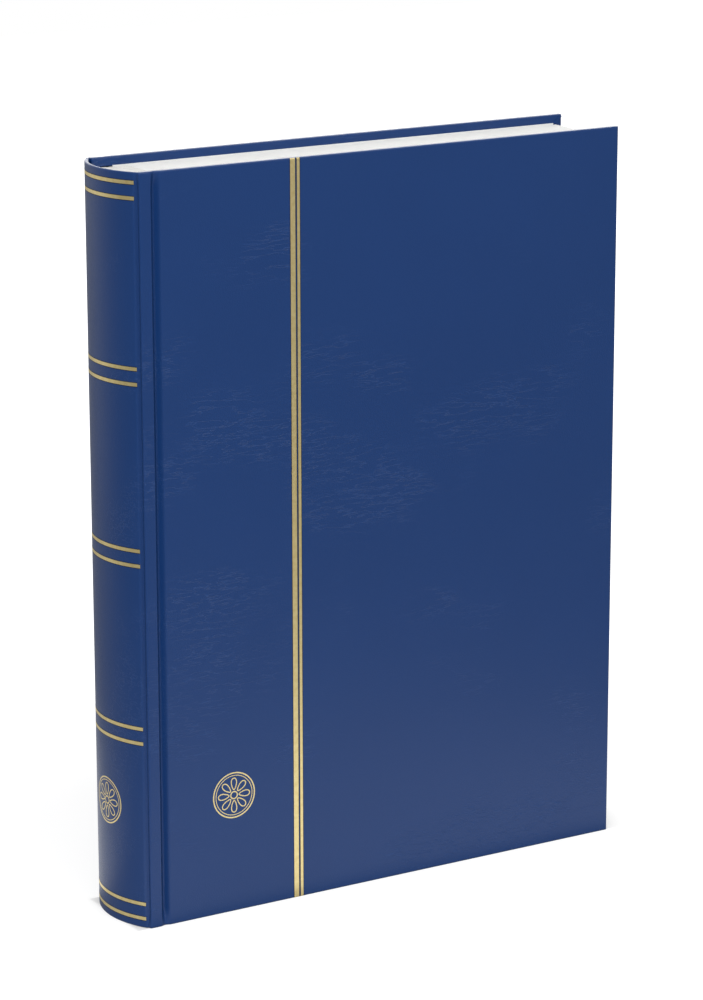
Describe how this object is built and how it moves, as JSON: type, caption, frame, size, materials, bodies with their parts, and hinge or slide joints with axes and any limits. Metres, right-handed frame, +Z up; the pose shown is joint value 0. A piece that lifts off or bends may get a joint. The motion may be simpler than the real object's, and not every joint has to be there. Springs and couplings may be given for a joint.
{
  "type": "stamp album",
  "caption": "Hard-bound stamp album with a leatherette case, rounded hollow spine, hinged covers and hinged stock leaves that carry clear pocket strips.",
  "frame": {"origin": "under the middle of the closed album, on the surface that it stands on", "axes": "+X from the spine to the fore-edge, +Y from the front cover to the back cover, +Z up the standing album"},
  "size_m": [0.23, 0.044, 0.305],
  "materials": {
    "greyboard": "raw greyboard",
    "inlay_card": "thin bendable card",
    "leatherette": "fine-grained blue leatherette with a soft sheen",
    "endpaper": "smooth white endpaper",
    "mull": "open-weave lining cloth",
    "guard_card": "white card",
    "linen": "white hinge linen",
    "stock_card": "stiff white stock card",
    "glassine": "clear to milky glassine"
  },
  "bodies": {
    "binding": {"spine_inlay": "inlay_card", "spine_cloth": "leatherette", "spine_lining": "mull", "leaf_guards": "guard_card", "linen_hinges": "linen"},
    "front_cover": {"front_board": "greyboard", "front_cover_cloth": "leatherette", "front_endpaper": "endpaper"},
    "back_cover": {"back_board": "greyboard", "back_cover_cloth": "leatherette", "back_endpaper": "endpaper"},
    "leaf_01": {"leaf_01_card": "stock_card", "leaf_01_glassine": "glassine"},
    "leaf_02": {"leaf_02_card": "stock_card", "leaf_02_glassine": "glassine"},
    "leaf_03": {"leaf_03_card": "stock_card", "leaf_03_glassine": "glassine"},
    "leaf_04": {"leaf_04_card": "stock_card", "leaf_04_glassine": "glassine"},
    "leaf_05": {"leaf_05_card": "stock_card", "leaf_05_glassine": "glassine"},
    "leaf_06": {"leaf_06_card": "stock_card", "leaf_06_glassine": "glassine"},
    "leaf_07": {"leaf_07_card": "stock_card", "leaf_07_glassine": "glassine"},
    "leaf_08": {"leaf_08_card": "stock_card", "leaf_08_glassine": "glassine"},
    "leaf_09": {"leaf_09_card": "stock_card", "leaf_09_glassine": "glassine"},
    "leaf_10": {"leaf_10_card": "stock_card", "leaf_10_glassine": "glassine"},
    "leaf_11": {"leaf_11_card": "stock_card", "leaf_11_glassine": "glassine"},
    "leaf_12": {"leaf_12_card": "stock_card", "leaf_12_glassine": "glassine"},
    "leaf_13": {"leaf_13_card": "stock_card", "leaf_13_glassine": "glassine"},
    "leaf_14": {"leaf_14_card": "stock_card", "leaf_14_glassine": "glassine"},
    "leaf_15": {"leaf_15_card": "stock_card", "leaf_15_glassine": "glassine"},
    "leaf_16": {"leaf_16_card": "stock_card", "leaf_16_glassine": "glassine"},
    "leaf_17": {"leaf_17_card": "stock_card", "leaf_17_glassine": "glassine"},
    "leaf_18": {"leaf_18_card": "stock_card", "leaf_18_glassine": "glassine"},
    "leaf_19": {"leaf_19_card": "stock_card", "leaf_19_glassine": "glassine"},
    "leaf_20": {"leaf_20_card": "stock_card", "leaf_20_glassine": "glassine"},
    "leaf_21": {"leaf_21_card": "stock_card", "leaf_21_glassine": "glassine"},
    "leaf_22": {"leaf_22_card": "stock_card", "leaf_22_glassine": "glassine"},
    "leaf_23": {"leaf_23_card": "stock_card", "leaf_23_glassine": "glassine"},
    "leaf_24": {"leaf_24_card": "stock_card", "leaf_24_glassine": "glassine"}
  },
  "joints": [
    {"name": "front_cover_hinge", "type": "hinge", "parent": "binding", "child": "front_cover", "pos_m": [-0.10055, -0.0225, 0.1525], "axis": [0, 0, -1], "range_deg": [0, 180]},
    {"name": "back_cover_hinge", "type": "hinge", "parent": "binding", "child": "back_cover", "pos_m": [-0.10055, 0.0225, 0.1525], "axis": [0, 0, 1], "range_deg": [0, 180]},
    {"name": "leaf_01_hinge", "type": "hinge", "parent": "binding", "child": "leaf_01", "pos_m": [-0.0953, -0.01783, 0.1525], "axis": [0, 0, -1], "range_deg": [0, 117], "deforming": ["linen_hinges"]},
    {"name": "leaf_02_hinge", "type": "hinge", "parent": "binding", "child": "leaf_02", "pos_m": [-0.0953, -0.01628, 0.1525], "axis": [0, 0, -1], "range_deg": [0, 72], "deforming": ["linen_hinges"]},
    {"name": "leaf_03_hinge", "type": "hinge", "parent": "binding", "child": "leaf_03", "pos_m": [-0.0953, -0.01473, 0.1525], "axis": [0, 0, -1], "range_deg": [0, 65.14], "deforming": ["linen_hinges"]},
    {"name": "leaf_04_hinge", "type": "hinge", "parent": "binding", "child": "leaf_04", "pos_m": [-0.0953, -0.01317, 0.1525], "axis": [0, 0, -1], "range_deg": [0, 58.29], "deforming": ["linen_hinges"]},
    {"name": "leaf_05_hinge", "type": "hinge", "parent": "binding", "child": "leaf_05", "pos_m": [-0.0953, -0.01162, 0.1525], "axis": [0, 0, -1], "range_deg": [0, 51.43], "deforming": ["linen_hinges"]},
    {"name": "leaf_06_hinge", "type": "hinge", "parent": "binding", "child": "leaf_06", "pos_m": [-0.0953, -0.01008, 0.1525], "axis": [0, 0, -1], "range_deg": [0, 44.57], "deforming": ["linen_hinges"]},
    {"name": "leaf_07_hinge", "type": "hinge", "parent": "binding", "child": "leaf_07", "pos_m": [-0.0953, -0.00852, 0.1525], "axis": [0, 0, -1], "range_deg": [0, 37.71], "deforming": ["linen_hinges"]},
    {"name": "leaf_08_hinge", "type": "hinge", "parent": "binding", "child": "leaf_08", "pos_m": [-0.0953, -0.00698, 0.1525], "axis": [0, 0, -1], "range_deg": [0, 30.86], "deforming": ["linen_hinges"]},
    {"name": "leaf_09_hinge", "type": "hinge", "parent": "binding", "child": "leaf_09", "pos_m": [-0.0953, -0.00543, 0.1525], "axis": [0, 0, -1], "range_deg": [0, 24], "deforming": ["linen_hinges"]},
    {"name": "leaf_10_hinge", "type": "hinge", "parent": "binding", "child": "leaf_10", "pos_m": [-0.0953, -0.00387, 0.1525], "axis": [0, 0, -1], "range_deg": [0, 17.14], "deforming": ["linen_hinges"]},
    {"name": "leaf_11_hinge", "type": "hinge", "parent": "binding", "child": "leaf_11", "pos_m": [-0.0953, -0.00232, 0.1525], "axis": [0, 0, -1], "range_deg": [0, 10.29], "deforming": ["linen_hinges"]},
    {"name": "leaf_12_hinge", "type": "hinge", "parent": "binding", "child": "leaf_12", "pos_m": [-0.0953, -0.00077, 0.1525], "axis": [0, 0, -1], "range_deg": [0, 3.43], "deforming": ["linen_hinges"]},
    {"name": "leaf_13_hinge", "type": "hinge", "parent": "binding", "child": "leaf_13", "pos_m": [-0.0953, 0.00077, 0.1525], "axis": [0, 0, 1], "range_deg": [0, 3.43], "deforming": ["linen_hinges"]},
    {"name": "leaf_14_hinge", "type": "hinge", "parent": "binding", "child": "leaf_14", "pos_m": [-0.0953, 0.00232, 0.1525], "axis": [0, 0, 1], "range_deg": [0, 10.29], "deforming": ["linen_hinges"]},
    {"name": "leaf_15_hinge", "type": "hinge", "parent": "binding", "child": "leaf_15", "pos_m": [-0.0953, 0.00387, 0.1525], "axis": [0, 0, 1], "range_deg": [0, 17.14], "deforming": ["linen_hinges"]},
    {"name": "leaf_16_hinge", "type": "hinge", "parent": "binding", "child": "leaf_16", "pos_m": [-0.0953, 0.00543, 0.1525], "axis": [0, 0, 1], "range_deg": [0, 24], "deforming": ["linen_hinges"]},
    {"name": "leaf_17_hinge", "type": "hinge", "parent": "binding", "child": "leaf_17", "pos_m": [-0.0953, 0.00698, 0.1525], "axis": [0, 0, 1], "range_deg": [0, 30.86], "deforming": ["linen_hinges"]},
    {"name": "leaf_18_hinge", "type": "hinge", "parent": "binding", "child": "leaf_18", "pos_m": [-0.0953, 0.00852, 0.1525], "axis": [0, 0, 1], "range_deg": [0, 37.71], "deforming": ["linen_hinges"]},
    {"name": "leaf_19_hinge", "type": "hinge", "parent": "binding", "child": "leaf_19", "pos_m": [-0.0953, 0.01008, 0.1525], "axis": [0, 0, 1], "range_deg": [0, 44.57], "deforming": ["linen_hinges"]},
    {"name": "leaf_20_hinge", "type": "hinge", "parent": "binding", "child": "leaf_20", "pos_m": [-0.0953, 0.01162, 0.1525], "axis": [0, 0, 1], "range_deg": [0, 51.43], "deforming": ["linen_hinges"]},
    {"name": "leaf_21_hinge", "type": "hinge", "parent": "binding", "child": "leaf_21", "pos_m": [-0.0953, 0.01317, 0.1525], "axis": [0, 0, 1], "range_deg": [0, 58.29], "deforming": ["linen_hinges"]},
    {"name": "leaf_22_hinge", "type": "hinge", "parent": "binding", "child": "leaf_22", "pos_m": [-0.0953, 0.01473, 0.1525], "axis": [0, 0, 1], "range_deg": [0, 65.14], "deforming": ["linen_hinges"]},
    {"name": "leaf_23_hinge", "type": "hinge", "parent": "binding", "child": "leaf_23", "pos_m": [-0.0953, 0.01628, 0.1525], "axis": [0, 0, 1], "range_deg": [0, 72], "deforming": ["linen_hinges"]},
    {"name": "leaf_24_hinge", "type": "hinge", "parent": "binding", "child": "leaf_24", "pos_m": [-0.0953, 0.01783, 0.1525], "axis": [0, 0, 1], "range_deg": [0, 117], "deforming": ["linen_hinges"]}
  ],
  "couplings": [
    {"joint": "leaf_01_hinge", "follows": "front_cover_hinge", "ratio": 0.65},
    {"joint": "leaf_02_hinge", "follows": "front_cover_hinge", "ratio": 0.4},
    {"joint": "leaf_03_hinge", "follows": "front_cover_hinge", "ratio": 0.3619},
    {"joint": "leaf_04_hinge", "follows": "front_cover_hinge", "ratio": 0.32381},
    {"joint": "leaf_05_hinge", "follows": "front_cover_hinge", "ratio": 0.28571},
    {"joint": "leaf_06_hinge", "follows": "front_cover_hinge", "ratio": 0.24762},
    {"joint": "leaf_07_hinge", "follows": "front_cover_hinge", "ratio": 0.20952},
    {"joint": "leaf_08_hinge", "follows": "front_cover_hinge", "ratio": 0.17143},
    {"joint": "leaf_09_hinge", "follows": "front_cover_hinge", "ratio": 0.13333},
    {"joint": "leaf_10_hinge", "follows": "front_cover_hinge", "ratio": 0.095238},
    {"joint": "leaf_11_hinge", "follows": "front_cover_hinge", "ratio": 0.057143},
    {"joint": "leaf_12_hinge", "follows": "front_cover_hinge", "ratio": 0.019048},
    {"joint": "leaf_13_hinge", "follows": "back_cover_hinge", "ratio": 0.019048},
    {"joint": "leaf_14_hinge", "follows": "back_cover_hinge", "ratio": 0.057143},
    {"joint": "leaf_15_hinge", "follows": "back_cover_hinge", "ratio": 0.095238},
    {"joint": "leaf_16_hinge", "follows": "back_cover_hinge", "ratio": 0.13333},
    {"joint": "leaf_17_hinge", "follows": "back_cover_hinge", "ratio": 0.17143},
    {"joint": "leaf_18_hinge", "follows": "back_cover_hinge", "ratio": 0.20952},
    {"joint": "leaf_19_hinge", "follows": "back_cover_hinge", "ratio": 0.24762},
    {"joint": "leaf_20_hinge", "follows": "back_cover_hinge", "ratio": 0.28571},
    {"joint": "leaf_21_hinge", "follows": "back_cover_hinge", "ratio": 0.32381},
    {"joint": "leaf_22_hinge", "follows": "back_cover_hinge", "ratio": 0.3619},
    {"joint": "leaf_23_hinge", "follows": "back_cover_hinge", "ratio": 0.4},
    {"joint": "leaf_24_hinge", "follows": "back_cover_hinge", "ratio": 0.65}
  ]
}
